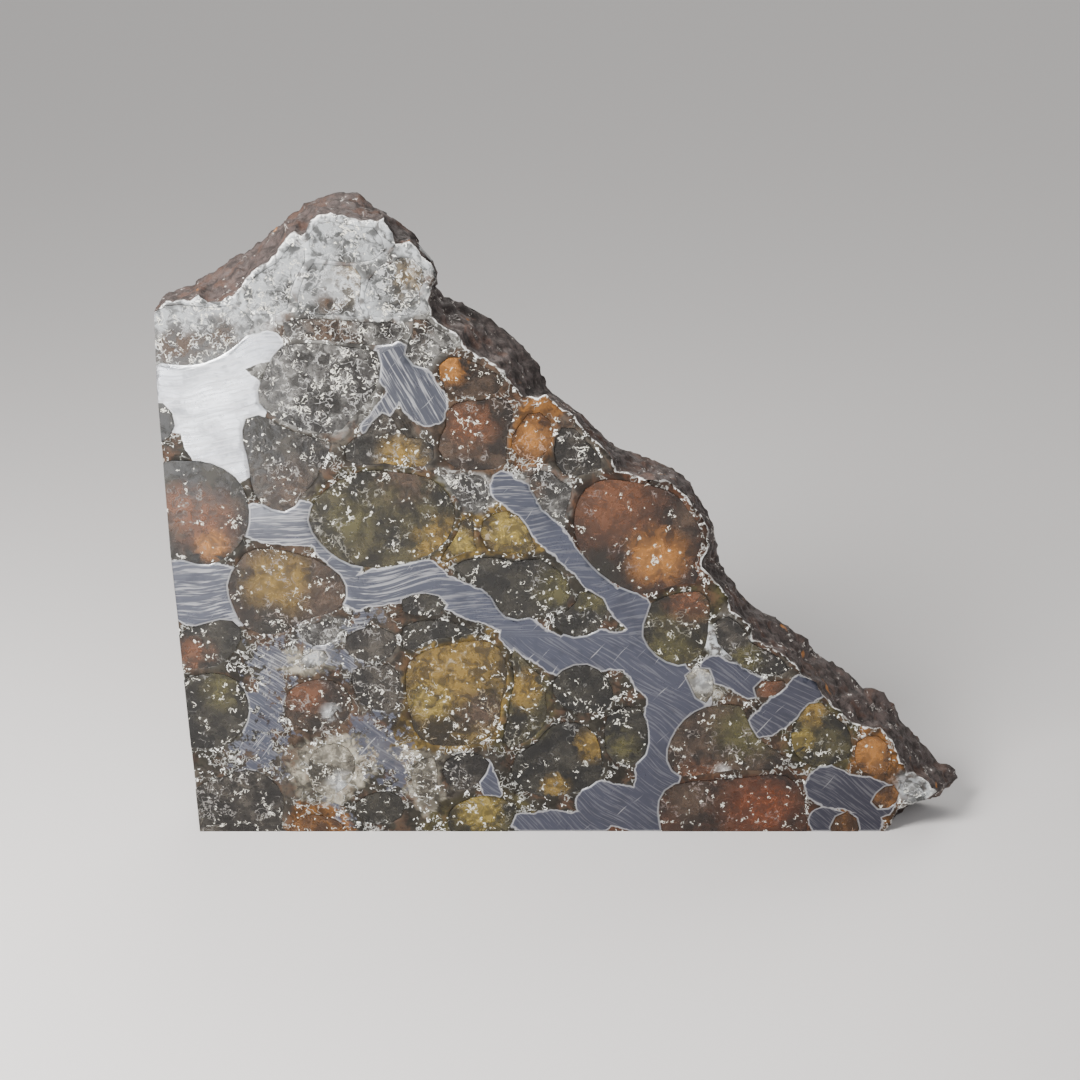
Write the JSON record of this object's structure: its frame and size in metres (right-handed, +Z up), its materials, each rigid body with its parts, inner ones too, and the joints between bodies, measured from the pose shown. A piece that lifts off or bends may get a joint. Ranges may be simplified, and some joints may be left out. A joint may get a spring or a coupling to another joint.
{
  "type": "pallasite meteorite",
  "caption": "Upright sawn slice of pallasite: iron-nickel network holding translucent olivine crystals, polished face, broken crust on top and right, pointed tip.",
  "frame": {"origin": "middle of the bounding box's foot, on the surface that the sawn base stands on", "axes": "+X along the base to the pointed tip, -Y out of the polished face, +Z up"},
  "size_m": [0.0524, 0.0042, 0.0423],
  "materials": {
    "iron_nickel": "polished with fine scratches, rusty crust on the broken skin",
    "olivine_frosted": "frosted crystal",
    "olivine_amber": "polished crystal",
    "olivine_red": "polished crystal",
    "olivine_green": "polished crystal",
    "olivine_gold": "polished crystal"
  },
  "bodies": {
    "root": {"iron_nickel_network": "iron_nickel", "olivine_amber": "olivine_amber", "olivine_amber_spot": "olivine_amber", "olivine_ash": "olivine_green", "olivine_band": "olivine_frosted", "olivine_base_bead": "olivine_amber", "olivine_base_orange": "olivine_red", "olivine_base_red": "olivine_red", "olivine_base_shaded": "olivine_green", "olivine_base_yellow": "olivine_amber", "olivine_bead": "olivine_frosted", "olivine_bottle": "olivine_green", "olivine_brown": "olivine_green", "olivine_chalk": "olivine_frosted", "olivine_chestnut": "olivine_red", "olivine_corner": "olivine_green", "olivine_cove": "olivine_green", "olivine_cream": "olivine_frosted", "olivine_dark": "olivine_green", "olivine_dark_hollow": "olivine_green", "olivine_edge_chip": "olivine_red", "olivine_fawn": "olivine_red", "olivine_feather": "olivine_gold", "olivine_glinting": "olivine_green", "olivine_glitter": "olivine_green", "olivine_gold": "olivine_gold", "olivine_granular": "olivine_frosted", "olivine_green": "olivine_green", "olivine_grey": "olivine_frosted", "olivine_honey": "olivine_gold", "olivine_islet": "olivine_green", "olivine_khaki": "olivine_gold", "olivine_left_russet": "olivine_red", "olivine_left_shaded": "olivine_green", "olivine_moss": "olivine_green", "olivine_notch": "olivine_frosted", "olivine_olive": "olivine_green", "olivine_orange": "olivine_amber", "olivine_pale": "olivine_frosted", "olivine_red": "olivine_red", "olivine_right_gold": "olivine_gold", "olivine_right_orange": "olivine_amber", "olivine_round_dark": "olivine_green", "olivine_round_olive": "olivine_green", "olivine_russet": "olivine_red", "olivine_rust": "olivine_red", "olivine_shoulder": "olivine_frosted", "olivine_slope": "olivine_green", "olivine_smoke": "olivine_green", "olivine_sparkle": "olivine_green", "olivine_speckled": "olivine_green", "olivine_summit": "olivine_frosted", "olivine_tall_green": "olivine_green", "olivine_tawny": "olivine_amber", "olivine_tip": "olivine_frosted", "olivine_tip_orange": "olivine_amber", "olivine_umber": "olivine_green", "olivine_wedge": "olivine_amber"}
  },
  "joints": []
}
